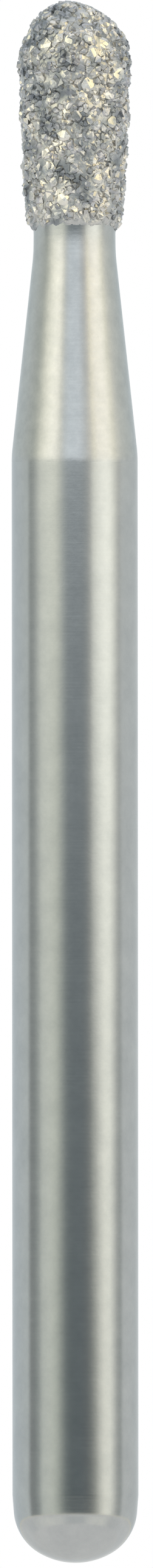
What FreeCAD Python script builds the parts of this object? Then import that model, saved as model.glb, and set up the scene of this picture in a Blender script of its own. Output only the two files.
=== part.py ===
import FreeCAD
import Part
import math
import os
import random
import Sketcher

# A pear-shaped diamond bur on a plain friction-grip shank. Three things make it: a steel blank turned in one
# piece, a layer of nickel plated round the blank's head, and the diamond crystals that the nickel holds.
# The bur's axis is Z and its working tip points up. The origin is the apex of the shank's rounded end.
# Lengths are in millimetres.

V = FreeCAD.Vector
doc = FreeCAD.newDocument("dental_bur")

# Driving sizes
SIZES = {
    "shank_diameter": 1.60,
    "shank_length": 13.92,
    "lead_diameter": 1.532,
    "lead_length": 0.86,
    "crown_height": 0.419,
    "end_round": 0.62,
    "neck_diameter": 1.042,
    "neck_length": 2.68,
    "shank_blend": 5.0,
    "land_length": 0.23,
    "land_blend": 2.3,
    "head_length": 2.97,
    "head_diameter": 1.446,
    "shoulder_radius": 0.864,
    "nose_radius": 0.447,
    "coat_thickness": 0.095,
    "bond_thickness": 0.052,
    "bond_floor": 0.016,
    "foot_length": 0.07,
    "foot_lip": 0.02,
    "largest_crystal": 0.18,
    "smallest_crystal": 0.12,
    "lowest_stand": 0.026,
    "crystal_count": 330,
    "bond_sides": 24,
}
sheet = doc.addObject("Spreadsheet::Sheet", "Sizes")
for row, (alias, value) in enumerate(SIZES.items(), start=1):
    sheet.set(f"A{row}", alias)
    sheet.set(f"B{row}", str(value))
    sheet.setAlias(f"B{row}", alias)
doc.recompute()


def size(alias):
    """A driving size, read from the sheet."""
    return float(sheet.get(alias))


# Heights along the axis
NECK_BASE = size("shank_length")
LAND_BASE = NECK_BASE + size("neck_length")
COAT_BASE = LAND_BASE + size("land_length")
TIP = COAT_BASE + size("head_length")


class HeadOutline:
    """Half the outline of the head, set in by inset from the surface that the crystals' tips reach.

    A straight flank, a shoulder arc and a nose arc follow each other from the coat's foot to the tip, each
    tangent to the next. Outlines of different inset are parallel, and the core's flank starts at the neck.
    """

    def __init__(self, inset):
        shoulder, nose = size("shoulder_radius"), size("nose_radius")
        self.shoulder_radius = shoulder - inset
        self.nose_radius = nose - inset
        self.shoulder_x = size("head_diameter") / 2 - shoulder
        self.nose_z = TIP - nose
        rise = math.sqrt((shoulder - nose) ** 2 - self.shoulder_x**2)
        self.shoulder_z = self.nose_z - rise
        self.joint_angle = math.atan2(rise, -self.shoulder_x)

        core_shoulder = shoulder - size("coat_thickness")
        across = self.shoulder_x - size("neck_diameter") / 2
        up = self.shoulder_z - COAT_BASE
        self.taper = math.acos(-core_shoulder / math.hypot(across, up)) - math.atan2(up, across)

        self.flank_top = self.on_shoulder(-self.taper)
        self.joint = self.on_shoulder(self.joint_angle)
        self.tip = (0.0, self.nose_z + self.nose_radius)
        self.flank_length = (self.flank_top[1] - COAT_BASE) / math.cos(self.taper)
        self.shoulder_end = self.flank_length + self.shoulder_radius * (self.joint_angle + self.taper)
        self.length = self.shoulder_end + self.nose_radius * (math.pi / 2 - self.joint_angle)

    def on_shoulder(self, angle):
        """The radius and height of a point of the shoulder arc."""
        x = self.shoulder_x + self.shoulder_radius * math.cos(angle)
        return x, self.shoulder_z + self.shoulder_radius * math.sin(angle)

    def at(self, distance):
        """The radius, the height and the outward normal's angle at a distance from the foot."""
        if distance < self.flank_length:
            below = self.flank_length - distance
            x, z = self.flank_top
            return x - below * math.sin(self.taper), z - below * math.cos(self.taper), -self.taper
        if distance < self.shoulder_end:
            angle = -self.taper + (distance - self.flank_length) / self.shoulder_radius
            return *self.on_shoulder(angle), angle
        angle = self.joint_angle + (distance - self.shoulder_end) / self.nose_radius
        x = self.nose_radius * math.cos(angle)
        return x, self.nose_z + self.nose_radius * math.sin(angle), angle


core = HeadOutline(size("coat_thickness"))
bond_face = HeadOutline(size("coat_thickness") - size("bond_thickness"))


# Steel blank

def line(sketch, start, end):
    """A straight line of the sketch, from start to end."""
    return sketch.addGeometry(Part.LineSegment(V(*start, 0), V(*end, 0)), False)


def arc(sketch, centre, start, end):
    """An arc of the sketch, anticlockwise round centre from start to end."""
    circle = Part.Circle(V(*centre, 0), V(0, 0, 1), math.dist(centre, start))
    angles = [math.atan2(y - centre[1], x - centre[0]) for x, y in (start, end)]
    return sketch.addGeometry(Part.ArcOfCircle(circle, *angles), False)


def join(sketch, kind, *elements):
    """A constraint of the sketch that has no size."""
    sketch.addConstraint(Sketcher.Constraint(kind, *elements))


def dimension(sketch, kind, formula, *elements):
    """A size of the sketch that follows a formula of the sheet, starting from the drawn value."""
    if kind == "Radius":
        drawn = sketch.Geometry[elements[0]].Radius
    else:
        span = sketch.getPoint(*elements[2:]) - sketch.getPoint(*elements[:2])
        drawn = span.x if kind == "DistanceX" else span.y
    index = sketch.addConstraint(Sketcher.Constraint(kind, *elements, drawn))
    sketch.setExpression(f"Constraints[{index}]", formula)


def blend(sketch, element, rounding):
    """Rounds the corner at the element's end with a tangent arc. The sizes keep to the sharp corner."""
    blend_arc = sketch.GeometryCount
    sketch.fillet(element, END, size(rounding), True, True)
    dimension(sketch, "Radius", f"Sizes.{rounding}", blend_arc)


# How a sketch numbers the points of an element, and its own axis across and upright axis
START, END, CENTRE = range(1, 4)
ACROSS, UPRIGHT = range(-1, -3, -1)
ORIGIN = (ACROSS, START)

blank = doc.addObject("PartDesign::Body", "steel_blank")
blank.Label = "steel_blank"
profile = blank.newObject("Sketcher::SketchObject", "blank_profile")
side_plane = next(f for f in blank.Origin.OriginFeatures if f.Role == "XZ_Plane")
profile.AttachmentSupport = [(side_plane, "")]
profile.MapMode = "FlatFace"

lead_radius = size("lead_diameter") / 2
shank_radius = size("shank_diameter") / 2
neck_radius = size("neck_diameter") / 2
crown_radius = (lead_radius**2 + size("crown_height") ** 2) / (2 * size("crown_height"))
corners = [
    (lead_radius, size("crown_height")),
    (shank_radius, size("lead_length")),
    (shank_radius, NECK_BASE),
    (neck_radius, LAND_BASE),
    (neck_radius, COAT_BASE),
    core.flank_top,
]
crown = arc(profile, (0, crown_radius), (0, 0), corners[0])
lead, shank, neck, land, flank = [line(profile, a, b) for a, b in zip(corners, corners[1:])]
shoulder = arc(profile, (core.shoulder_x, core.shoulder_z), core.flank_top, core.joint)
nose = arc(profile, (0, core.nose_z), core.joint, core.tip)
axis = line(profile, core.tip, (0, 0))

chain = [crown, lead, shank, neck, land, flank]
for low, high in zip(chain, chain[1:]):
    join(profile, "Coincident", low, END, high, START)
join(profile, "Tangent", flank, END, shoulder, START)
join(profile, "Tangent", shoulder, END, nose, START)
join(profile, "Coincident", nose, END, axis, START)
join(profile, "Coincident", axis, END, crown, START)
join(profile, "Coincident", crown, START, *ORIGIN)
join(profile, "PointOnObject", crown, CENTRE, UPRIGHT)
join(profile, "PointOnObject", nose, CENTRE, UPRIGHT)
join(profile, "PointOnObject", nose, END, UPRIGHT)
join(profile, "Vertical", shank)
join(profile, "Vertical", land)

dimension(profile, "DistanceX", "Sizes.lead_diameter / 2", *ORIGIN, lead, START)
dimension(profile, "DistanceY", "Sizes.crown_height", *ORIGIN, lead, START)
dimension(profile, "DistanceX", "Sizes.shank_diameter / 2", *ORIGIN, shank, START)
dimension(profile, "DistanceY", "Sizes.lead_length", *ORIGIN, shank, START)
dimension(profile, "DistanceY", "Sizes.shank_length", *ORIGIN, shank, END)
dimension(profile, "DistanceX", "Sizes.neck_diameter / 2", *ORIGIN, land, START)
dimension(profile, "DistanceY", "Sizes.neck_length", neck, START, neck, END)
dimension(profile, "DistanceY", "Sizes.land_length", land, START, land, END)
dimension(profile, "DistanceY", "Sizes.head_length - Sizes.coat_thickness", land, END, nose, END)
dimension(profile, "Radius", "Sizes.shoulder_radius - Sizes.coat_thickness", shoulder)
dimension(profile, "Radius", "Sizes.nose_radius - Sizes.coat_thickness", nose)
shoulder_place = "Sizes.shoulder_radius - Sizes.head_diameter / 2"
dimension(profile, "DistanceX", shoulder_place, shoulder, CENTRE, *ORIGIN)

# The shank runs into the neck, and the neck into its land, with hardly an edge
blend(profile, shank, "shank_blend")
blend(profile, neck, "land_blend")

turned = blank.newObject("PartDesign::Revolution", "blank_turned")
turned.Profile = profile
turned.ReferenceAxis = (profile, ["V_Axis"])
turned.Angle = 360
doc.recompute()


def miss(edge, height, radius):
    """How far a round edge is from one of that height and radius."""
    return math.hypot(edge.CenterOfMass.z - height, edge.BoundBox.XLength / 2 - radius)


# The crown of the shank's end is rounded where it meets the lead
round_edges = {f"Edge{n}": e for n, e in enumerate(turned.Shape.Edges, start=1) if e.Closed}
crown_edge = min(round_edges, key=lambda n: miss(round_edges[n], size("crown_height"), lead_radius))
end_corner = blank.newObject("PartDesign::Fillet", "end_corner")
end_corner.Base = (turned, [crown_edge])
end_corner.setExpression("Radius", "Sizes.end_round")
doc.recompute()


# Diamond crystals

def crystal_places(outline, rng):
    """Scatters crystals over the head at random, evenly by area, none nearer another than their widths allow.

    Yields each crystal's distance from the foot, its angle round the axis and its width.
    """
    steps = 400
    stretch = outline.length / steps
    area = [0.0]
    for k in range(steps):
        area.append(area[-1] + outline.at((k + 0.5) * stretch)[0])
    placed = []
    tries_for_each = 120
    for _ in range(int(size("crystal_count") * tries_for_each)):
        if len(placed) == int(size("crystal_count")):
            break
        share = rng.uniform(0, area[-1])
        k = next(k for k in range(steps) if area[k + 1] >= share)
        distance = (k + (share - area[k]) / (area[k + 1] - area[k])) * stretch
        angle = rng.uniform(0, 2 * math.pi)
        width = rng.uniform(size("smallest_crystal"), size("largest_crystal"))
        if distance < size("foot_length") + width / 2:
            continue
        radius, height, _ = outline.at(distance)
        point = (radius * math.cos(angle), radius * math.sin(angle), height)
        if all(math.dist(point, other) > (width + wide) / 2 for other, wide in placed):
            placed.append((point, width))
            yield distance, angle, width


def octahedron(corners):
    """A solid of eight flat faces on three pairs of opposite corners."""
    faces = []
    for a in corners[0]:
        for b in corners[1]:
            for c in corners[2]:
                faces.append(Part.Face(Part.makePolygon([a, b, c, a])))
    solid = Part.makeSolid(Part.makeShell(faces))
    if solid.Volume < 0:
        solid.reverse()
    return solid


def crystal(outline, distance, angle, width, stand, rng):
    """An octahedral crystal, turned at random, that reaches from the bond's floor to its stand above the bond."""
    tumble = FreeCAD.Rotation(V(*(rng.gauss(0, 1) for _ in range(3))), rng.uniform(0, 360))
    pairs = [(tumble.multVec(v), tumble.multVec(-v)) for v in (V(1, 0, 0), V(0, 1, 0), V(0, 0, 1))]
    widest = max(math.hypot(p.x, p.y) for pair in pairs for p in pair)
    tallest = max(p.z for pair in pairs for p in pair)
    across = width / 2 / widest
    low = size("bond_floor")
    high = size("bond_thickness") + stand
    middle, reach = (low + high) / 2, (high - low) / 2 / tallest

    radius, height, slope = outline.at(distance)
    seat = V(radius * math.cos(angle), radius * math.sin(angle), height)
    outward = V(math.cos(slope) * math.cos(angle), math.cos(slope) * math.sin(angle), math.sin(slope))
    lean = FreeCAD.Rotation(V(0, 0, 1), outward)

    def placed(p):
        return seat + lean.multVec(V(p.x * across, p.y * across, middle + p.z * reach))

    return octahedron([(placed(a), placed(b)) for a, b in pairs])


rng = random.Random(4)
highest_stand = size("coat_thickness") - size("bond_thickness")
crystals = []
for distance, angle, width in list(crystal_places(core, rng)):
    stand = rng.uniform(size("lowest_stand"), highest_stand)
    crystals.append(crystal(core, distance, angle, width, stand, rng))
grit = doc.addObject("Part::Feature", "diamond_grit")
grit.Label = "diamond_grit"
grit.Shape = Part.makeCompound(crystals)


# Nickel bond

def ring(radius, height):
    """The corners of a polygon drawn round a circle about the axis."""
    sides = int(size("bond_sides"))
    corner = radius / math.cos(math.pi / sides)
    turns = [2 * math.pi * k / sides for k in range(sides)]
    return [V(corner * math.cos(turn), corner * math.sin(turn), height) for turn in turns]


def tangent_corners(centre, radius, first, last, steps):
    """The corners, between an arc's first and last angle, of straight lines that touch the arc."""
    half = (last - first) / steps / 2
    for k in range(steps):
        angle = first + (2 * k + 1) * half
        reach = radius / math.cos(half)
        yield centre[0] + reach * math.cos(angle), centre[1] + reach * math.sin(angle)


def faceted_head(outline, foot):
    """A solid of flat facets that touch the outline all round, on rings under the flank given by foot.

    Flat facets keep the rim of each crystal's pocket straight.
    """
    shoulder_facets, nose_facets = 6, 2
    centre = (outline.shoulder_x, outline.shoulder_z)
    points = list(foot)
    points += tangent_corners(
        centre, outline.shoulder_radius, -outline.taper, outline.joint_angle, shoulder_facets
    )
    points += tangent_corners(
        (0, outline.nose_z), outline.nose_radius, outline.joint_angle, math.pi / 2, nose_facets
    )
    rings = [ring(*point) for point in points]
    polygons = [rings[0][::-1], rings[-1]]
    for low, high in zip(rings, rings[1:]):
        for k in range(len(low)):
            polygons.append([low[k - 1], low[k], high[k], high[k - 1]])
    faces = [Part.Face(Part.makePolygon(corners + corners[:1])) for corners in polygons]
    return Part.makeSolid(Part.makeShell(faces))


# The coat thins out at its foot, on the land
coat_foot = [
    (neck_radius + size("foot_lip"), COAT_BASE),
    bond_face.at(size("foot_length"))[:2],
]
skin = doc.addObject("Part::Feature", "plated_head")
skin.Shape = faceted_head(bond_face, coat_foot)
hollow = doc.addObject("Part::Feature", "room_for_core")
hollow.Shape = faceted_head(core, [(neck_radius, LAND_BASE), (neck_radius, COAT_BASE)])
shell = doc.addObject("Part::Cut", "plated_shell")
shell.Base = skin
shell.Tool = hollow
doc.recompute()

# The pockets are the crystals' own forms, so each crystal seats face to face
bond = doc.addObject("Part::Feature", "nickel_bond")
bond.Label = "nickel_bond"
bond.Shape = shell.Shape.cut(grit.Shape)
doc.recompute()


# Test and write the three parts
for thing in doc.Objects:
    if {"Invalid", "Error"} & set(thing.State):
        raise RuntimeError(f"{thing.Label} failed: {thing.State}")
os.makedirs("parts", exist_ok=True)
for part in (blank, bond, grit):
    if part.Shape.isNull() or not part.Shape.isValid():
        raise RuntimeError(f"{part.Label} has no valid shape")
    box = part.Shape.BoundBox
    print(
        part.Label,
        f"{len(part.Shape.Solids)} solids, {part.Shape.Volume:.4f} mm3,",
        f"z {box.ZMin:.3f} to {box.ZMax:.3f}, widest {box.XLength:.3f}",
    )
    part.Shape.exportStep(f"parts/{part.Label}.step")
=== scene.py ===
import bmesh
import bpy
import math
import random
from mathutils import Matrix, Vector, kdtree, noise


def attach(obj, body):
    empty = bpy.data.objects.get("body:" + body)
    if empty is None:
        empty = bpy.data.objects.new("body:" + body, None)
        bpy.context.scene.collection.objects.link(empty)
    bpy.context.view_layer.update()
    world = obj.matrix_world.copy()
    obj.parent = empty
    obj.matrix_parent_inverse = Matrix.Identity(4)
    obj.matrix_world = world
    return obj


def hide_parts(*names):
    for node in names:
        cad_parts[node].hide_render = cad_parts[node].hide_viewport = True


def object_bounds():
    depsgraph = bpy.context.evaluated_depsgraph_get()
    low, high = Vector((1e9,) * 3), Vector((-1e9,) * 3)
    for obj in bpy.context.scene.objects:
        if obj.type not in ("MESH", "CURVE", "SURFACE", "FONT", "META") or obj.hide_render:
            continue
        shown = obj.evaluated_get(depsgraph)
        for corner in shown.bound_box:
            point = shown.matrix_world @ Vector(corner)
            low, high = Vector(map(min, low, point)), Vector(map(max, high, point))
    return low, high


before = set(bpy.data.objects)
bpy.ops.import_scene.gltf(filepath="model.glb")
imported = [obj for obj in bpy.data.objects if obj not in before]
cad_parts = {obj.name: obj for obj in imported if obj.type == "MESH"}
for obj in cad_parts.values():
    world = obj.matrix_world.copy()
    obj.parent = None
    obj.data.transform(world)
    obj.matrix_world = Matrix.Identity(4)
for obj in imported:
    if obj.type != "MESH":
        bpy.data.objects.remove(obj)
cad_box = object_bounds()

# A millimetre in metres, and what turns a count per millimetre into one per metre
MM = 0.001
PER_MM = 1 / MM
scene = bpy.context.scene
scene.view_settings.view_transform = "Standard"


# Camera: looks level at the bur from far off, without perspective, as the photo nearly does. The frame of
# the picture closes on the bur's tip, and the bur leans in it by a pixel or two.
FRAME_WIDTH, FRAME_HEIGHT = 252, 2576
PIXELS_PER_MM = 129.7
PIXEL = MM / PIXELS_PER_MM
bur_axis_across, bur_foot_down = 123.4, 2567.5
lean = math.radians(0.042)
camera_distance = 250

camera_data = bpy.data.cameras.new("camera")
camera_data.type = "ORTHO"
camera_data.ortho_scale = FRAME_HEIGHT * PIXEL
camera = bpy.data.objects.new("camera", camera_data)
camera.location.x = (FRAME_WIDTH / 2 - bur_axis_across) * PIXEL
camera.location.y = -camera_distance * MM
camera.location.z = (bur_foot_down - FRAME_HEIGHT / 2) * PIXEL
camera.rotation_euler = (math.pi / 2, lean, 0)
scene.collection.objects.link(camera)
scene.camera = camera


# Studio: the bur stands inside a round tent of white cloth with two warm windows in front, one each side
# of the dark gap where the camera looks in. The cloth gets lighter towards its top. Below the bur's foot,
# where only reflections see it, it is white, with faint stripes and one narrow warm band.
def feed(tree, socket, value):
    """Gives the socket a value, or a link where an output is given."""
    if isinstance(value, bpy.types.NodeSocket):
        tree.links.new(value, socket)
    else:
        socket.default_value = value


def add_node(tree, kind, inputs=None, **settings):
    """A node of the tree, with its settings and with what feeds its inputs."""
    made = tree.nodes.new(kind)
    for name, setting in settings.items():
        setattr(made, name, setting)
    for name, value in (inputs or {}).items():
        feed(tree, made.inputs[name], value)
    return made


def ramp(tree, factor, stops):
    """A colour that follows the factor through stops of (place, red, green, blue)."""
    made = add_node(tree, "ShaderNodeValToRGB", {"Fac": factor})
    points = made.color_ramp.elements
    while len(points) < len(stops):
        points.new(0.5)
    for point, stop in zip(points, stops):
        point.position = stop[0]
    for point, stop in zip(points, stops):
        point.color = (*stop[1:], 1)
    return made.outputs["Color"]


def new_material(name):
    """An empty material, its tree and its output node."""
    made = bpy.data.materials.new(name)
    made.use_nodes = True
    made.node_tree.nodes.clear()
    return made, made.node_tree, add_node(made.node_tree, "ShaderNodeOutputMaterial")


def new_piece(name, mesh, *materials):
    """An object at the origin that shows the mesh."""
    for material in materials:
        mesh.materials.append(material)
    made = bpy.data.objects.new(name, mesh)
    scene.collection.objects.link(made)
    return made


tent_radius, tent_hem, tent_top, tent_sides = 60, -60, 100, 96
window_strength = 3.0

# What the bur sees round it, from straight behind by its left side to behind again, as degrees and the
# light there. The tables are for the height of its shank's end, of its shank's top, of what its neck looks
# up to, of what its nose looks up to, and for the cloth below its foot.
low_light = [
    (-180, 0.80, 0.83, 0.86),
    (-150, 0.88, 0.95, 1.01),
    (-120, 0.89, 0.95, 0.98),
    (-97, 0.90, 0.95, 0.95),
    (-89, 0.44, 0.46, 0.46),
    (-80, 0.41, 0.44, 0.44),
    (-71, 0.54, 0.58, 0.57),
    (-62, 0.94, 0.98, 0.92),
    (-50, 1.03, 1.06, 0.98),
    (-42, 1.00, 1.04, 0.94),
    (-34, 0.83, 0.87, 0.79),
    (-26, 0.53, 0.57, 0.53),
    (-17, 0.28, 0.32, 0.32),
    (-7, 0.20, 0.235, 0.245),
    (8, 0.20, 0.235, 0.25),
    (20, 0.215, 0.24, 0.25),
    (28, 0.29, 0.31, 0.305),
    (37, 0.53, 0.54, 0.50),
    (47, 1.10, 1.09, 0.99),
    (55, 1.46, 1.43, 1.29),
    (66, 1.50, 1.48, 1.35),
    (74, 1.10, 1.10, 1.03),
    (82, 0.72, 0.73, 0.71),
    (90, 0.58, 0.61, 0.60),
    (99, 0.94, 0.96, 0.96),
    (150, 0.92, 0.96, 0.98),
    (180, 0.80, 0.83, 0.86),
]
shank_light = [
    (-180, 0.80, 0.83, 0.86),
    (-150, 0.88, 0.95, 1.01),
    (-120, 0.89, 0.95, 0.98),
    (-97, 0.90, 0.95, 0.94),
    (-89, 0.51, 0.54, 0.53),
    (-80, 0.63, 0.66, 0.65),
    (-72, 0.92, 0.95, 0.90),
    (-64, 1.20, 1.22, 1.12),
    (-50, 1.24, 1.26, 1.14),
    (-36, 1.17, 1.19, 1.06),
    (-28, 0.94, 0.97, 0.89),
    (-21, 0.67, 0.71, 0.69),
    (-13, 0.44, 0.48, 0.50),
    (0, 0.40, 0.44, 0.47),
    (14, 0.42, 0.46, 0.48),
    (21, 0.54, 0.57, 0.58),
    (27, 0.75, 0.76, 0.73),
    (34, 1.38, 1.38, 1.29),
    (42, 1.66, 1.65, 1.53),
    (51, 1.84, 1.82, 1.68),
    (60, 1.92, 1.90, 1.75),
    (67, 1.82, 1.80, 1.66),
    (74, 1.50, 1.49, 1.38),
    (81, 1.14, 1.14, 1.07),
    (88, 0.84, 0.85, 0.83),
    (97, 0.94, 0.97, 0.97),
    (150, 0.92, 0.96, 0.98),
    (180, 0.80, 0.83, 0.86),
]
high_light = [
    (-180, 0.80, 0.86, 0.89),
    (-150, 0.88, 0.95, 0.98),
    (-118, 0.91, 0.97, 0.96),
    (-104, 0.86, 0.90, 0.87),
    (-95, 0.83, 0.87, 0.82),
    (-85, 0.83, 0.86, 0.79),
    (-76, 1.08, 1.09, 0.96),
    (-67, 1.48, 1.45, 1.26),
    (-58, 1.80, 1.75, 1.53),
    (-45, 2.08, 2.01, 1.79),
    (-36, 1.94, 1.87, 1.68),
    (-28, 1.40, 1.38, 1.26),
    (-20, 1.17, 1.22, 1.24),
    (-11, 1.27, 1.35, 1.42),
    (9, 1.29, 1.36, 1.43),
    (21, 1.08, 1.10, 1.10),
    (29, 1.22, 1.17, 1.08),
    (36, 1.62, 1.53, 1.30),
    (45, 1.89, 1.79, 1.61),
    (54, 2.02, 1.92, 1.71),
    (62, 2.05, 1.94, 1.73),
    (70, 1.93, 1.84, 1.60),
    (78, 1.58, 1.51, 1.29),
    (88, 1.28, 1.25, 1.13),
    (98, 1.09, 1.10, 1.03),
    (112, 0.98, 1.01, 0.97),
    (150, 0.88, 0.95, 0.98),
    (180, 0.80, 0.86, 0.89),
]
top_light = [
    (-180, 0.62, 0.70, 0.76),
    (-100, 0.46, 0.52, 0.56),
    (-78, 0.34, 0.38, 0.41),
    (-66, 1.55, 1.48, 1.14),
    (-54, 2.60, 2.44, 1.78),
    (-34, 2.55, 2.38, 1.74),
    (-24, 0.60, 0.61, 0.58),
    (-12, 0.30, 0.34, 0.38),
    (14, 0.30, 0.34, 0.38),
    (26, 0.56, 0.54, 0.48),
    (36, 2.55, 2.18, 1.36),
    (56, 2.65, 2.28, 1.42),
    (72, 0.72, 0.66, 0.52),
    (90, 0.38, 0.42, 0.44),
    (110, 0.50, 0.56, 0.60),
    (180, 0.62, 0.70, 0.76),
]
skirt_light = [
    (-180, 0.96, 0.98, 1.00),
    (-125, 1.02, 1.03, 1.04),
    (-100, 0.89, 0.91, 0.92),
    (-55, 1.14, 1.14, 1.09),
    (-30, 1.09, 1.09, 1.06),
    (-12, 0.85, 0.87, 0.88),
    (14, 0.85, 0.87, 0.88),
    (32, 1.12, 1.11, 1.07),
    (55, 1.19, 1.18, 1.12),
    (76, 0.92, 0.93, 0.93),
    (125, 1.02, 1.03, 1.04),
    (180, 0.96, 0.98, 1.00),
]
white_light = (1.0, 1.0, 1.0)
warm_light = (1.18, 1.12, 0.94)
lid_light = (1.15, 1.19, 1.24)

# The lights from the cloth's lower edge to its top, and between which heights each gives way to the next
# above it, in millimetres, with the share that the upper one has at half way
lights = [
    white_light,
    skirt_light,
    white_light,
    warm_light,
    low_light,
    shank_light,
    high_light,
    top_light,
    lid_light,
]
changes = [
    (-44, -38, 0.5),
    (-20, -16, 0.5),
    (-13.8, -13.6, 0.5),
    (-12.6, -12.4, 0.5),
    (0, 12.1, 0.31),
    (13.6, 17.2, 0.5),
    (29, 40, 0.5),
    (80, 99, 0.5),
]

tent_cloth, tree, output = new_material("tent_cloth")
place = add_node(tree, "ShaderNodeTexCoord").outputs["Object"]
along = add_node(tree, "ShaderNodeSeparateXYZ", {"Vector": place})
front = add_node(tree, "ShaderNodeMath", {0: along.outputs["Y"], 1: -1.0}, operation="MULTIPLY")
turn = add_node(
    tree, "ShaderNodeMath", {0: along.outputs["X"], 1: front.outputs["Value"]}, operation="ARCTAN2"
)
share = add_node(
    tree,
    "ShaderNodeMapRange",
    {"Value": turn.outputs["Value"], "From Min": -math.pi, "From Max": math.pi},
)
walls = []
for light in lights:
    if isinstance(light, tuple):
        walls.append((*(c / window_strength for c in light), 1))
        continue
    stops = []
    for degrees, *colour in light:
        stops.append(((degrees + 180) / 360, *(c / window_strength for c in colour)))
    walls.append(ramp(tree, share.outputs["Result"], stops))
cloth = walls[0]
for (low, high, half_way), upper in zip(changes, walls[1:]):
    height = add_node(
        tree,
        "ShaderNodeMapRange",
        {"Value": along.outputs["Z"], "From Min": low * MM, "From Max": high * MM},
    )
    rise = ramp(
        tree, height.outputs["Result"], [(0, 0, 0, 0), (0.5, half_way, half_way, half_way), (1, 1, 1, 1)]
    )
    cloth = add_node(
        tree, "ShaderNodeMix", {"Factor": rise, "A": cloth, "B": upper}, data_type="RGBA"
    ).outputs["Result"]
glow = add_node(tree, "ShaderNodeEmission", {"Color": cloth, "Strength": window_strength})
tree.links.new(glow.outputs["Emission"], output.inputs["Surface"])
tent_cloth.cycles.emission_sampling = "NONE"

tent_form = bmesh.new()
bmesh.ops.create_cone(
    tent_form,
    segments=tent_sides,
    radius1=tent_radius * MM,
    radius2=tent_radius * MM,
    depth=(tent_top - tent_hem) * MM,
)
bmesh.ops.translate(tent_form, verts=tent_form.verts, vec=(0, 0, (tent_top + tent_hem) / 2 * MM))
top_ring = [v for v in tent_form.verts if v.co.z > 0]
tent_form.faces.new(sorted(top_ring, key=lambda v: math.atan2(v.co.y, v.co.x)))
tent_mesh = bpy.data.meshes.new("light_tent")
tent_form.to_mesh(tent_mesh)
tent = new_piece("light_tent", tent_mesh, tent_cloth)
tent.visible_camera = False

room = bpy.data.worlds.new("white_room")
room.use_nodes = True
room.node_tree.nodes["Background"].inputs["Color"].default_value = (1, 1, 1, 1)
room.node_tree.nodes["Background"].inputs["Strength"].default_value = 1.0
room.cycles.sampling_method = "NONE"
scene.world = room

floor_half, paper_tone, paper_glow = 400, 0.86, 0.4
floor_paper, tree, output = new_material("floor_paper")
matt = add_node(tree, "ShaderNodeBsdfDiffuse", {"Color": (paper_tone, paper_tone, paper_tone, 1)})
light_path = add_node(tree, "ShaderNodeLightPath")
whiten = add_node(
    tree, "ShaderNodeMath", {0: light_path.outputs["Is Camera Ray"], 1: paper_glow}, operation="MULTIPLY"
)
glow = add_node(tree, "ShaderNodeEmission", {"Strength": whiten.outputs["Value"]})
both = add_node(tree, "ShaderNodeAddShader", {0: matt.outputs["BSDF"], 1: glow.outputs["Emission"]})
tree.links.new(both.outputs["Shader"], output.inputs["Surface"])
floor_form = bmesh.new()
bmesh.ops.create_grid(floor_form, x_segments=1, y_segments=1, size=floor_half * MM)
floor_mesh = bpy.data.meshes.new("floor")
floor_form.to_mesh(floor_mesh)
floor = new_piece("floor", floor_mesh, floor_paper)
floor.visible_glossy = False


# Steel blank: one bar of stainless steel, turned and ground all over. The shank is ground round and
# straight with a rounded end. Above it the slimmer neck tapers to the land that carries the head's core.

# Measures are in millimetres, and a point of an outline is its radius from the axis and its height. The
# shank's end is a shallow crown, a rounded corner and a lead that meets the full shank at a faint crease.
crown_centre, crown_radius = 0.9097, 0.9097
end_round = 0.66
lead_foot, lead_top = (0.766, 0.419), (0.80, 0.86)
shank_radius, shank_top = 0.80, 13.947
shank_blend_centre, shank_blend, neck_slope = (-0.8, 13.947), 1.6, math.radians(5.944)
land_radius, land_blend, land_base = 0.521, 2.3, 16.7194
coat_base = 16.83
shoulder_centre, nose_centre = (-0.141, 18.961), (0.0, 19.353)
shoulder_radius, nose_radius = 0.864, 0.447
core_inset = 0.095
taper, nose_joint = math.radians(2.93), math.radians(70.24)

# How finely each run of the blank's outline is divided, and how near its crease the closest points lie
blank_sides = 128
crown_steps, corner_steps, blend_steps, land_steps = 18, 24, 8, 6
lead_spacing, shank_spacing, neck_spacing, core_spacing = 0.06, 0.16, 0.12, 0.1
crease_in, crease_up = 0.0006, 0.008


def arc_points(centre, radius, start, end, steps):
    """Points of an arc."""
    for k in range(steps + 1):
        angle = start + (end - start) * k / steps
        yield centre[0] + radius * math.cos(angle), centre[1] + radius * math.sin(angle)


def straight_points(low, high, spacing):
    """Points between two ends of a straight run, the ends left out."""
    steps = max(1, round(math.dist(low, high) / spacing))
    for k in range(1, steps):
        yield low[0] + (high[0] - low[0]) * k / steps, low[1] + (high[1] - low[1]) * k / steps


def arc_point(centre, radius, angle):
    """One point of an arc."""
    return next(arc_points(centre, radius, angle, angle, 1))


def head_outline(inset, spacing):
    """The head's outline, set in by inset from its crystals' tips: points with their normal's slope."""
    radius = shoulder_radius - inset
    flank_top = arc_point(shoulder_centre, radius, -taper)
    flank_low = (flank_top[0] - (flank_top[1] - coat_base) * math.tan(taper), coat_base)
    for point in (flank_low, *straight_points(flank_low, flank_top, spacing)):
        yield *point, -taper
    steps = round(radius * (nose_joint + taper) / spacing)
    for k, point in enumerate(arc_points(shoulder_centre, radius, -taper, nose_joint, steps)):
        yield *point, -taper + (nose_joint + taper) * k / steps
    radius = nose_radius - inset
    steps = round(radius * (math.pi / 2 - nose_joint) / spacing)
    for k, point in enumerate(arc_points(nose_centre, radius, nose_joint, math.pi / 2, steps)):
        if k:
            yield *point, nose_joint + (math.pi / 2 - nose_joint) * k / steps


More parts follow.
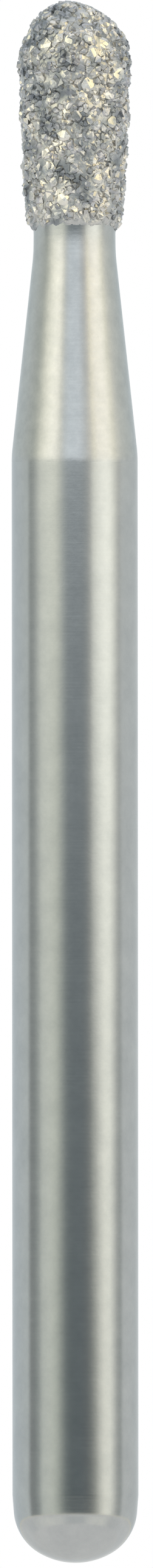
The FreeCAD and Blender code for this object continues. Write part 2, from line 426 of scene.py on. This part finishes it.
def ringed_mesh(name, rings):
    """A closed mesh over rings of points, in millimetres. Its first and last ring are one point each."""
    form = bmesh.new()
    made = [[form.verts.new(Vector(point) * MM) for point in ring] for ring in rings]
    for low, high in zip(made, made[1:]):
        for k in range(max(len(low), len(high))):
            if len(low) == 1:
                form.faces.new((low[0], high[k], high[k - 1]))
            elif len(high) == 1:
                form.faces.new((low[k - 1], low[k], high[0]))
            else:
                form.faces.new((low[k - 1], low[k], high[k], high[k - 1]))
    for face in form.faces:
        face.smooth = True
    mesh = bpy.data.meshes.new(name)
    form.to_mesh(mesh)
    return mesh


def turned_rings(points, sides):
    """Rings round the axis through the points. A point on the axis is a ring by itself."""
    for radius, height, *_ in points:
        if radius < 1e-6:
            yield [(0, 0, height)]
        else:
            turns = [2 * math.pi * k / sides for k in range(sides)]
            yield [(radius * math.cos(turn), radius * math.sin(turn), height) for turn in turns]


def add_socket(tree, way, name, kind):
    """Gives the tree an input or an output. What comes back is its identifier."""
    return tree.interface.new_socket(name, in_out=way, socket_type="NodeSocket" + kind).identifier


lead_lean = math.atan2(lead_top[0] - lead_foot[0], lead_top[1] - lead_foot[1])
lead_facing = (math.cos(lead_lean), -math.sin(lead_lean))
reach = lead_foot[0] * lead_facing[0] + lead_foot[1] * lead_facing[1] - end_round
from_crown = reach - crown_centre * lead_facing[1]
crown_gap = crown_radius - end_round
swing = math.acos(from_crown / crown_gap) + lead_lean
corner_centre = arc_point((0, crown_centre), crown_gap, -swing)
lead_start = arc_point(corner_centre, end_round, -lead_lean)
neck_start = arc_point(shank_blend_centre, shank_blend, neck_slope)
land_centre = (land_radius + land_blend, land_base)
neck_end = arc_point(land_centre, land_blend, math.pi + neck_slope)

outline = [*arc_points((0, crown_centre), crown_radius, -math.pi / 2, -swing, crown_steps)]
outline += [*arc_points(corner_centre, end_round, -swing, -lead_lean, corner_steps)][1:]
outline += [*straight_points(lead_start, lead_top, lead_spacing)]
outline += [(lead_top[0] - crease_in, lead_top[1] - crease_up), lead_top]
outline += [(lead_top[0], lead_top[1] + crease_up)]
outline += [*straight_points(outline[-1], (shank_radius, shank_top), shank_spacing)]
outline += [*arc_points(shank_blend_centre, shank_blend, 0, neck_slope, blend_steps)]
outline += [*straight_points(neck_start, neck_end, neck_spacing)]
outline += [*arc_points(land_centre, land_blend, math.pi + neck_slope, math.pi, land_steps)]
outline += [*head_outline(core_inset, core_spacing)]
blank_mesh = ringed_mesh("steel_blank_ground", turned_rings(outline, blank_sides))

# The marks of grinding and turning that run round the bur's axis, as a height, and the steel's clouds
marks = bpy.data.node_groups.new("round_marks", "ShaderNodeTree")
for name in ("Marks per mm", "Marks round", "Cloud size mm"):
    add_socket(marks, "INPUT", name, "Float")
for name in ("Height", "Cloud"):
    add_socket(marks, "OUTPUT", name, "Float")
given = add_node(marks, "NodeGroupInput").outputs
place = add_node(marks, "ShaderNodeTexCoord").outputs["Object"]
fine = add_node(marks, "ShaderNodeMath", {0: given["Marks per mm"], 1: PER_MM}, operation="MULTIPLY")
around = add_node(marks, "ShaderNodeMath", {0: given["Marks round"], 1: PER_MM}, operation="MULTIPLY")
stretch = add_node(
    marks,
    "ShaderNodeCombineXYZ",
    {"X": around.outputs["Value"], "Y": around.outputs["Value"], "Z": fine.outputs["Value"]},
)
stretched = add_node(
    marks, "ShaderNodeVectorMath", {0: place, 1: stretch.outputs["Vector"]}, operation="MULTIPLY"
)
lines = add_node(
    marks,
    "ShaderNodeTexNoise",
    {"Vector": stretched.outputs["Vector"], "Scale": 1.0, "Detail": 3.0, "Roughness": 0.6},
)
cloud_scale = add_node(
    marks, "ShaderNodeMath", {0: PER_MM, 1: given["Cloud size mm"]}, operation="DIVIDE"
)
clouds = add_node(
    marks,
    "ShaderNodeTexNoise",
    {"Vector": place, "Scale": cloud_scale.outputs["Value"], "Detail": 5.0, "Roughness": 0.70},
)
add_node(marks, "NodeGroupOutput", {"Height": lines.outputs["Fac"], "Cloud": clouds.outputs["Fac"]})
noise_low, noise_high = 0.3, 0.7
steel_edge_tone = (0.87, 0.875, 0.87, 1)


def steel(name, marks_given, tones, roughness, mark_depth, cloud_depth):
    """Satin steel: its tone follows its clouds, its gloss the marks of its making, and both are raised."""
    made, tree, output = new_material(name)
    worked = add_node(tree, "ShaderNodeGroup", marks_given, node_tree=marks)
    tone = add_node(
        tree,
        "ShaderNodeMapRange",
        {"Value": worked.outputs["Cloud"], "From Min": noise_low, "From Max": noise_high},
    )
    colour = add_node(
        tree,
        "ShaderNodeMix",
        {"Factor": tone.outputs["Result"], "A": (*tones[0], 1), "B": (*tones[1], 1)},
        data_type="RGBA",
    )
    gloss = add_node(
        tree,
        "ShaderNodeMapRange",
        {
            "Value": worked.outputs["Height"],
            "From Min": noise_low,
            "From Max": noise_high,
            "To Min": roughness[0],
            "To Max": roughness[1],
        },
    )
    raised = add_node(
        tree,
        "ShaderNodeBump",
        {"Height": worked.outputs["Height"], "Distance": mark_depth * MM, "Strength": 1.0},
    )
    clouded = add_node(
        tree,
        "ShaderNodeBump",
        {
            "Height": worked.outputs["Cloud"],
            "Distance": cloud_depth * MM,
            "Strength": 1.0,
            "Normal": raised.outputs["Normal"],
        },
    )
    face = add_node(
        tree,
        "ShaderNodeBsdfPrincipled",
        {
            "Base Color": colour.outputs["Result"],
            "Metallic": 1.0,
            "Specular Tint": steel_edge_tone,
            "Roughness": gloss.outputs["Result"],
            "Normal": clouded.outputs["Normal"],
        },
    )
    tree.links.new(face.outputs["BSDF"], output.inputs["Surface"])
    return made


ground_shank = steel(
    "ground_shank",
    {"Marks per mm": 45.0, "Marks round": 1.2, "Cloud size mm": 0.35},
    tones=((0.385, 0.399, 0.394), (0.445, 0.457, 0.447)),
    roughness=(0.12, 0.17),
    mark_depth=0.00005,
    cloud_depth=0.0008,
)
turned_neck = steel(
    "turned_neck",
    {"Marks per mm": 30.0, "Marks round": 1.6, "Cloud size mm": 0.16},
    tones=((0.380, 0.393, 0.388), (0.450, 0.460, 0.450)),
    roughness=(0.12, 0.19),
    mark_depth=0.0002,
    cloud_depth=0.0010,
)
blank = new_piece("steel_blank_ground", blank_mesh, ground_shank, turned_neck)
for face in blank_mesh.polygons:
    face.material_index = int(face.center.z > shank_blend_centre[1] * MM)
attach(blank, "root")
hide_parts("steel_blank")


# Diamond crystals: synthetic diamond, most of them 0.15 to 0.24 mm wide, each seated in the plating with
# its upper half bare. They are the source's own crystals, broader, with broken edges and cleaved tops.
def within(value, low=0.0, high=1.0):
    """The value, or the limit that it passes."""
    return max(low, min(high, value))


def crystal_islands(form):
    """The separate crystals of a mesh, each a list of its corners."""
    left = set(form.verts)
    for first in form.verts:
        if first not in left:
            continue
        left.discard(first)
        island, edge_of_island = [], [first]
        while edge_of_island:
            corner = edge_of_island.pop()
            island.append(corner)
            for edge in corner.link_edges:
                other = edge.other_vert(corner)
                if other in left:
                    left.discard(other)
                    edge_of_island.append(other)
        yield island


def way_out(slope, turn):
    """The direction at a turn round the axis that rises by the slope."""
    return Vector((math.cos(slope) * math.cos(turn), math.cos(slope) * math.sin(turn), math.sin(slope)))


def head_facing(point):
    """The way out of the head at a point on it."""
    turn = math.atan2(point.y, point.x)
    radius = math.hypot(point.x, point.y)
    slope = math.atan2(point.z - shoulder_centre[1], radius - shoulder_centre[0])
    if slope > nose_joint:
        slope = math.atan2(point.z - nose_centre[1], radius)
    return way_out(max(slope, -taper), turn)


# The coat of the nose: the dome that nothing on it passes, and how much thinner it lies on the right
highest = cad_box[1].z / MM
dome_top, dome_fall = -0.11, 0.7
nose_leans_from, nose_leans_over = 19.36, 0.20
flatter_side, flatter_over = 0.022, 0.35
lean_aside, lean_down = 0.006, 0.11
lean_left, lean_right = -0.06, 0.30


def nose_ceiling(point):
    """The height that nothing on the nose passes at the point. The dome's top lies a little to the left."""
    return highest - dome_fall * ((point.x - dome_top) ** 2 + point.y ** 2)


def built_up(point):
    """The point moved as the coat of the nose lies."""
    share = within((point.z - nose_leans_from) / nose_leans_over)
    right = within(point.x / flatter_over)
    lower = lean_down * within(point.x, lean_left, lean_right)
    leaned = point - Vector((lean_aside + flatter_side * right, 0, lower)) * share
    return Vector((leaned.x, leaned.y, min(leaned.z, nose_ceiling(leaned))))


# The foot of the coat: an edge in broad and small scallops that rises at the front, and its rounding
foot_lowest, foot_front_rise, foot_round = 0.035, 0.07, 0.20
foot_scallop, scallop_rest = 0.09, 0.4
broad_scallop, broad_per_radius = 0.7, 3.7
small_scallop, small_per_radius = 0.4, 9.0


def foot_height(turn):
    """The height at which the coat begins, round the bur."""
    across = Vector((math.cos(turn), math.sin(turn), 1.0))
    broad = broad_scallop * noise.noise(across * broad_per_radius)
    small = small_scallop * noise.noise(across * small_per_radius)
    scallops = foot_scallop * (scallop_rest + broad + small)
    return coat_base + foot_lowest + scallops + foot_front_rise * max(0.0, -math.sin(turn)) ** 2


def foot_cover(height, turn):
    """How much of its thickness the coat has at a height: 0 at its foot, 1 above its rounded edge."""
    return math.sqrt(within((height - foot_height(turn)) / foot_round))


heave_rest, heave_depth, heave_per_mm = 0.010, 0.032, 3.8
finer_heave, finer_times = 0.35, 2.1


def heave(point):
    """How far the plating and its crystals together stand out or in at a point of the head."""
    finer = finer_heave * noise.noise(point * heave_per_mm * finer_times)
    return heave_rest + heave_depth * (noise.noise(point * heave_per_mm) + finer)


def heave_slope(point):
    """Which way the heave rises at the point, and how steeply."""
    step = 0.01
    aside = [Vector((step, 0, 0)), Vector((0, step, 0)), Vector((0, 0, step))]
    return Vector([(heave(point + way) - heave(point - way)) / (2 * step) for way in aside])


# How thick the nickel lies on the core, and how many pixels the bur's lean carries its head to the left
plating_depth = 0.052
bond_inset = core_inset - plating_depth
head_aside, probe_spacing = 1.0, 0.01


def on_head(across, down):
    """The point of the head's front that a pixel of the photo shows."""
    x = (across - bur_axis_across + head_aside) * PIXEL / MM
    z = (bur_foot_down - down) * PIXEL / MM
    points = [*head_outline(bond_inset, probe_spacing)]
    radius = min(points, key=lambda point: abs(point[1] - z))[0]
    return Vector((x, -math.sqrt(max(0.0, radius * radius - x * x)), z))


# Where the photo shows crystals shine, as the flat face of each lies towards one of the windows
shining = [
    (95, 55), (76, 84), (88, 72), (158, 66), (172, 62), (160, 84), (102, 126), (92, 142), (150, 132),
    (190, 128), (153, 164), (176, 164), (128, 160), (98, 218), (99, 236), (152, 258), (88, 262),
    (162, 286), (90, 282), (178, 204), (111, 322), (88, 350), (112, 58), (140, 192),
]
# The crystals at these spots also take the grit's brightest, warmest colour. That is a painted highlight,
# laid over the real glint of their turned faces.
shining_reach, shining_wider, painted_highlight_tone = 0.11, 1.38, 0.75
window_turn, window_rise = math.radians(23.5), math.radians(12)

# How the crystals differ from the source's: their broken edges, their chips and the height at which they
# are cleaved. Over the coat's foot they stand lower, are narrower and sit deeper.
welded, broken_edge, chip = 0.0002, 0.015, 0.007
taller, wider = 1.6, 1.30
cleaved_from, cleaved_to, cleaved_lean = 0.037, 0.048, 0.18
foot_rise, foot_share, least_share = 0.24, 0.20, 0.25
narrowest, foot_deeper = 0.5, 0.075
rng = random.Random(11)
grit_form = bmesh.new()
grit_form.from_mesh(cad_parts["diamond_grit"].data)
bmesh.ops.remove_doubles(grit_form, verts=grit_form.verts, dist=welded * MM)
bmesh.ops.bevel(
    grit_form,
    geom=grit_form.edges[:],
    offset=broken_edge * MM,
    segments=1,
    affect="EDGES",
    clamp_overlap=True,
)
bmesh.ops.recalc_face_normals(grit_form, faces=grit_form.faces)
tone_layer = grit_form.verts.layers.float.new("tone")
islands = [*crystal_islands(grit_form)]
seats = [sum((corner.co for corner in island), Vector()) / len(island) / MM for island in islands]
lit = {}
for spot in shining:
    place = on_head(*spot)
    nearest = min(seats, key=lambda seat: (seat - place).length)
    if (nearest - place).length < shining_reach:
        lit[tuple(nearest)] = place
for island, centre in zip(islands, seats):
    facing = head_facing(centre)
    tone = rng.random()
    above_foot = (centre.z - foot_height(math.atan2(centre.y, centre.x))) / foot_rise
    share = within(foot_share + (1 - foot_share) * above_foot, least_share)
    leaning = Vector([rng.uniform(-1, 1) for _ in range(3)]) * cleaved_lean - heave_slope(centre)
    cleaved = rng.uniform(cleaved_from, cleaved_to) * share
    broad = wider
    if tuple(centre) in lit:
        side = math.copysign(window_turn, lit[tuple(centre)].x)
        lying = Vector((math.sin(side), -math.cos(side), math.tan(window_rise)))
        leaning = lying / lying.dot(facing)
        # Painted highlight: besides a face turned to a window, these crystals get the grit's brightest,
        # warmest colour.
        broad, tone = wider * shining_wider, painted_highlight_tone
    leaning -= facing * leaning.dot(facing)
    for corner in island:
        corner[tone_layer] = tone
        arm = corner.co / MM - centre
        stand = arm.dot(facing)
        aside = (arm - facing * stand) * broad * (narrowest + (1 - narrowest) * share)
        stand = min(stand * taller * share, cleaved - aside.dot(leaning))
        rise = stand + heave(centre) * share - foot_deeper * (1 - share)
        place = centre + aside + facing * rise
        corner.co = built_up(place - arm.normalized() * rng.uniform(0, chip)) * MM
grit_mesh = bpy.data.meshes.new("diamond_crystals")
grit_form.to_mesh(grit_mesh)

# The film of nickel over the head, thicker in one place than in another: it darkens and tints the coat
film = bpy.data.node_groups.new("nickel_film", "ShaderNodeTree")
add_socket(film, "INPUT", "Colour", "Color")
add_socket(film, "INPUT", "Patch size mm", "Float")
add_socket(film, "OUTPUT", "Colour", "Color")
add_socket(film, "OUTPUT", "Patch", "Float")
given = add_node(film, "NodeGroupInput").outputs
place = add_node(film, "ShaderNodeTexCoord").outputs["Object"]
patch_scale = add_node(
    film, "ShaderNodeMath", {0: PER_MM, 1: given["Patch size mm"]}, operation="DIVIDE"
)
patches = add_node(
    film,
    "ShaderNodeTexNoise",
    {"Vector": place, "Scale": patch_scale.outputs["Value"], "Detail": 2.5, "Roughness": 0.6},
)
spread = add_node(
    film, "ShaderNodeMapRange", {"Value": patches.outputs["Fac"], "From Min": 0.32, "From Max": 0.68}
)
veil = ramp(
    film,
    spread.outputs["Result"],
    [
        (0.0, 0.41, 0.44, 0.48),
        (0.3, 0.59, 0.62, 0.65),
        (0.6, 0.86, 0.86, 0.855),
        (1.0, 1.0, 0.975, 0.93),
    ],
)
veiled = add_node(
    film,
    "ShaderNodeMix",
    {"Factor": 1.0, "A": given["Colour"], "B": veil},
    data_type="RGBA",
    blend_type="MULTIPLY",
)
add_node(film, "NodeGroupOutput", {"Colour": veiled.outputs["Result"], "Patch": spread.outputs["Result"]})
film_patch = 0.34


def filmed_surface(tree, output, colour, roughness, grain_per_mm, grain_depth, values):
    """A surface under the film of nickel: its gloss follows the film, and a fine grain stands on it."""
    place = add_node(tree, "ShaderNodeTexCoord").outputs["Object"]
    filmed = add_node(
        tree, "ShaderNodeGroup", {"Colour": colour, "Patch size mm": film_patch}, node_tree=film
    )
    gloss = add_node(
        tree,
        "ShaderNodeMapRange",
        {"Value": filmed.outputs["Patch"], "To Min": roughness[0], "To Max": roughness[1]},
    )
    grain = add_node(
        tree, "ShaderNodeTexNoise", {"Vector": place, "Scale": grain_per_mm * PER_MM, "Detail": 3.0}
    )
    uneven = add_node(
        tree,
        "ShaderNodeBump",
        {"Height": grain.outputs["Fac"], "Distance": grain_depth * MM, "Strength": 1.0},
    )
    face = add_node(
        tree,
        "ShaderNodeBsdfPrincipled",
        {
            "Base Color": filmed.outputs["Colour"],
            "Roughness": gloss.outputs["Result"],
            "Normal": uneven.outputs["Normal"],
            **values,
        },
    )
    tree.links.new(face.outputs["BSDF"], output.inputs["Surface"])


diamond, tree, output = new_material("diamond")
tone = add_node(tree, "ShaderNodeAttribute", attribute_name="tone").outputs["Fac"]
body = ramp(
    tree,
    tone,
    [
        (0.0, 0.36, 0.37, 0.385),
        (0.25, 0.47, 0.47, 0.47),
        (0.5, 0.57, 0.565, 0.56),
        (0.75, 0.71, 0.695, 0.655),
        (1.0, 0.50, 0.50, 0.53),
    ],
)
filmed_surface(
    tree,
    output,
    colour=body,
    roughness=(0.30, 0.14),
    grain_per_mm=40,
    grain_depth=0.004,
    values={"Metallic": 0.85, "IOR": 2.2},
)
crystals = new_piece("diamond_crystals", grit_mesh, diamond)
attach(crystals, "root")
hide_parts("diamond_grit")


# Nickel bond: nickel plated over the core and up the sides of every crystal. It swells round each of
# them, leaves pits between, and ends in an uneven foot on the steel.
bond_sides, bond_spacing, inner_spacing = 240, 0.018, 0.12
meniscus, meniscus_reach = 0.014, 0.060
pit, pits_per_mm, pits_above, pits_aside = 0.022, 11.0, 0.12, Vector((3, 7, 1))
ripple, ripples_per_mm = 0.005, 21.0
foot_lumps, lumps_per_mm = 0.022, 26.0
# How deep the nickel's inner face lies in the core, and its outer one too where the coat has hardly begun
sunk, edge_sunk, edge_cover = 0.004, 0.006, 0.14

seat_tree = kdtree.KDTree(len(seats))
for k, seat in enumerate(seats):
    seat_tree.insert(seat, k)
seat_tree.balance()


def plated_height(point):
    """How far the nickel stands above its even face at a point of the head."""
    _, _, gap = seat_tree.find(point)
    climb = meniscus * math.exp(-((gap / meniscus_reach) ** 2))
    hollow = pit * max(0.0, noise.noise(point * pits_per_mm + pits_aside) - pits_above)
    return climb + heave(point) - hollow + ripple * noise.noise(point * ripples_per_mm)


turns = [2 * math.pi * k / bond_sides for k in range(bond_sides)]
inside = [*turned_rings(head_outline(core_inset + sunk, inner_spacing), bond_sides)]
outside = []
for radius, height, slope in head_outline(bond_inset, bond_spacing):
    ring = []
    for turn in turns:
        point = Vector((radius * math.cos(turn), radius * math.sin(turn), height))
        cover = foot_cover(height, turn)
        rough = foot_lumps * noise.noise(point * lumps_per_mm) * math.sin(math.pi * cover)
        thick = (plated_height(point) + plating_depth) * cover
        stand = thick - plating_depth - edge_sunk * (cover < edge_cover) + rough
        ring.append(built_up(point + way_out(slope, turn) * stand))
    outside.append(ring)
outside[-1] = [(0, 0, max(point.z for point in outside[-1]))]
bond_mesh = ringed_mesh("nickel_plating", inside[::-1] + outside)

nickel, tree, output = new_material("nickel_plate")
filmed_surface(
    tree,
    output,
    colour=(0.53, 0.535, 0.525, 1),
    roughness=(0.42, 0.24),
    grain_per_mm=30,
    grain_depth=0.010,
    values={"Metallic": 1.0},
)
plating = new_piece("nickel_plating", bond_mesh, nickel)
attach(plating, "root")
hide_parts("nickel_bond")


# Small crystals: what the same grit leaves of broken stones, lodged between the full ones and held by the
# same nickel. They are strewn over the head at random, tumbled every way, and clear of the full crystals.
strewn = bpy.data.node_groups.new("strewn_grit", "GeometryNodeTree")
add_socket(strewn, "INPUT", "Head", "Geometry")
wanted = {
    add_socket(strewn, "INPUT", "Full crystals", "Object"): crystals,
    add_socket(strewn, "INPUT", "Grit", "Material"): diamond,
    add_socket(strewn, "INPUT", "Crystals per mm2", "Float"): 480.0,
    add_socket(strewn, "INPUT", "Spacing mm", "Float"): 0.058,
    add_socket(strewn, "INPUT", "Clear of full crystals mm", "Float"): 0.010,
    add_socket(strewn, "INPUT", "Smallest mm", "Float"): 0.090,
    add_socket(strewn, "INPUT", "Largest mm", "Float"): 0.150,
    add_socket(strewn, "INPUT", "Seed", "Int"): 5,
}
add_socket(strewn, "OUTPUT", "Crystals", "Geometry")
given = add_node(strewn, "NodeGroupInput").outputs


def times(socket, factor):
    """The given value times a factor, such as MM for a length in millimetres."""
    made = add_node(strewn, "ShaderNodeMath", {0: socket, 1: factor}, operation="MULTIPLY")
    return made.outputs["Value"]


def any_value(kind, low, high, seed):
    """A random value within limits."""
    made = add_node(strewn, "FunctionNodeRandomValue", {"Seed": seed}, data_type=kind)
    limits = [i for i in made.inputs if i.enabled and i.name in ("Min", "Max")]
    for socket, value in zip(limits, (low, high)):
        feed(strewn, socket, value)
    return next(o for o in made.outputs if o.enabled)


lodged = add_node(
    strewn,
    "GeometryNodeDistributePointsOnFaces",
    {
        "Mesh": given["Head"],
        "Distance Min": times(given["Spacing mm"], MM),
        "Density Max": times(given["Crystals per mm2"], PER_MM**2),
        "Seed": given["Seed"],
    },
    distribute_method="POISSON",
)
full_ones = add_node(strewn, "GeometryNodeObjectInfo", {"Object": given["Full crystals"]})
near = add_node(
    strewn, "GeometryNodeProximity", {0: full_ones.outputs["Geometry"]}, target_element="FACES"
)
too_near = add_node(
    strewn,
    "FunctionNodeCompare",
    {0: near.outputs["Distance"], 1: times(given["Clear of full crystals mm"], MM)},
    data_type="FLOAT",
    operation="LESS_THAN",
)
kept = add_node(
    strewn,
    "GeometryNodeDeleteGeometry",
    {"Geometry": lodged.outputs["Points"], "Selection": too_near.outputs["Result"]},
    domain="POINT",
)
# Each kind of stone: its sides, its top's width against its foot's, and the seed of its knocks. Then how
# far a corner is knocked, between which limits a stone is stretched, and how far it tilts.
stones = ((5, 0.55, 2), (6, 0.62, 7), (7, 0.48, 13), (4, 0.70, 17))
knock_in, knock_out = (-0.22, -0.22, -0.26), (0.22, 0.22, 0.26)
slimmest, broadest = (0.75, 0.75, 0.55), (1.15, 1.15, 0.78)
tilt = 0.28
choice = add_node(strewn, "GeometryNodeJoinGeometry")
for sides, top, seed in stones:
    stone = add_node(
        strewn,
        "GeometryNodeMeshCone",
        {"Vertices": sides, "Radius Top": top, "Radius Bottom": 1.0, "Depth": 1.1},
    )
    knocked = any_value("FLOAT_VECTOR", knock_in, knock_out, seed)
    broken = add_node(
        strewn, "GeometryNodeSetPosition", {"Geometry": stone.outputs["Mesh"], "Offset": knocked}
    )
    shape = add_node(strewn, "GeometryNodeGeometryToInstance", {"Geometry": broken.outputs["Geometry"]})
    strewn.links.new(shape.outputs["Instances"], choice.inputs["Geometry"])
smallest, largest = (times(given[name], MM / 2) for name in ("Smallest mm", "Largest mm"))
stretched = any_value("FLOAT_VECTOR", slimmest, broadest, 8)
scaled = add_node(strewn, "ShaderNodeVectorMath", {0: stretched}, operation="SCALE")
strewn.links.new(any_value("FLOAT", smallest, largest, 3), scaled.inputs["Scale"])
tumbled = add_node(
    strewn,
    "FunctionNodeRotateRotation",
    {
        "Rotation": lodged.outputs["Rotation"],
        "Rotate By": any_value("FLOAT_VECTOR", (-tilt, -tilt, 0), (tilt, tilt, math.tau), 4),
    },
    rotation_space="LOCAL",
).outputs["Rotation"]
placed = add_node(
    strewn,
    "GeometryNodeInstanceOnPoints",
    {
        "Points": kept.outputs["Geometry"],
        "Instance": choice.outputs["Geometry"],
        "Pick Instance": True,
        "Rotation": tumbled,
        "Scale": scaled.outputs["Vector"],
    },
)
toned = add_node(
    strewn,
    "GeometryNodeStoreNamedAttribute",
    {"Geometry": placed.outputs["Instances"], "Name": "tone", "Value": any_value("FLOAT", 0.0, 1.0, 6)},
    data_type="FLOAT",
    domain="INSTANCE",
)
made_real = add_node(strewn, "GeometryNodeRealizeInstances", {"Geometry": toned.outputs["Geometry"]})
coated = add_node(
    strewn,
    "GeometryNodeSetMaterial",
    {"Geometry": made_real.outputs["Geometry"], "Material": given["Grit"]},
)
add_node(strewn, "NodeGroupOutput", {"Crystals": coated.outputs["Geometry"]})

# The face in the nickel on which they are strewn. It ends where the coat over its foot gets thin.
bed_inset, bed_sides, bed_spacing, least_cover = 0.064, 96, 0.035, 0.58
bed_form = bmesh.new()
rows = []
for ring in turned_rings(head_outline(bed_inset, bed_spacing), bed_sides):
    row = []
    for point in map(Vector, ring):
        cover = foot_cover(point.z, math.atan2(point.y, point.x))
        stand = (heave(point) + core_inset - bed_inset) * cover + bed_inset - core_inset
        lifted = point + head_facing(point) * stand
        row.append((bed_form.verts.new(built_up(lifted) * MM), cover))
    rows.append(row)
for low, high in zip(rows, rows[1:]):
    for k in range(bed_sides):
        corners = [low[k - 1], low[k], *((high[k], high[k - 1]) if len(high) > 1 else high)]
        if min(cover for corner, cover in corners) > least_cover:
            bed_form.faces.new([corner for corner, cover in corners])
bed_mesh = bpy.data.meshes.new("grit_bed")
bed_form.to_mesh(bed_mesh)
bed = new_piece("grit_bed", bed_mesh)
strewing = bed.modifiers.new("strewn_grit", "NODES")
strewing.node_group = strewn
for identifier, value in wanted.items():
    strewing[identifier] = value
bpy.context.view_layer.update()
seen = bed.evaluated_get(bpy.context.evaluated_depsgraph_get())
small_mesh = bpy.data.meshes.new_from_object(seen)
bpy.data.objects.remove(bed)
small_mesh.name = "small_crystals"
for face in small_mesh.polygons:
    face.use_smooth = False
for corner in small_mesh.vertices:
    corner.co.z = min(corner.co.z, nose_ceiling(corner.co / MM) * MM)
small = new_piece("small_crystals", small_mesh)
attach(small, "root")
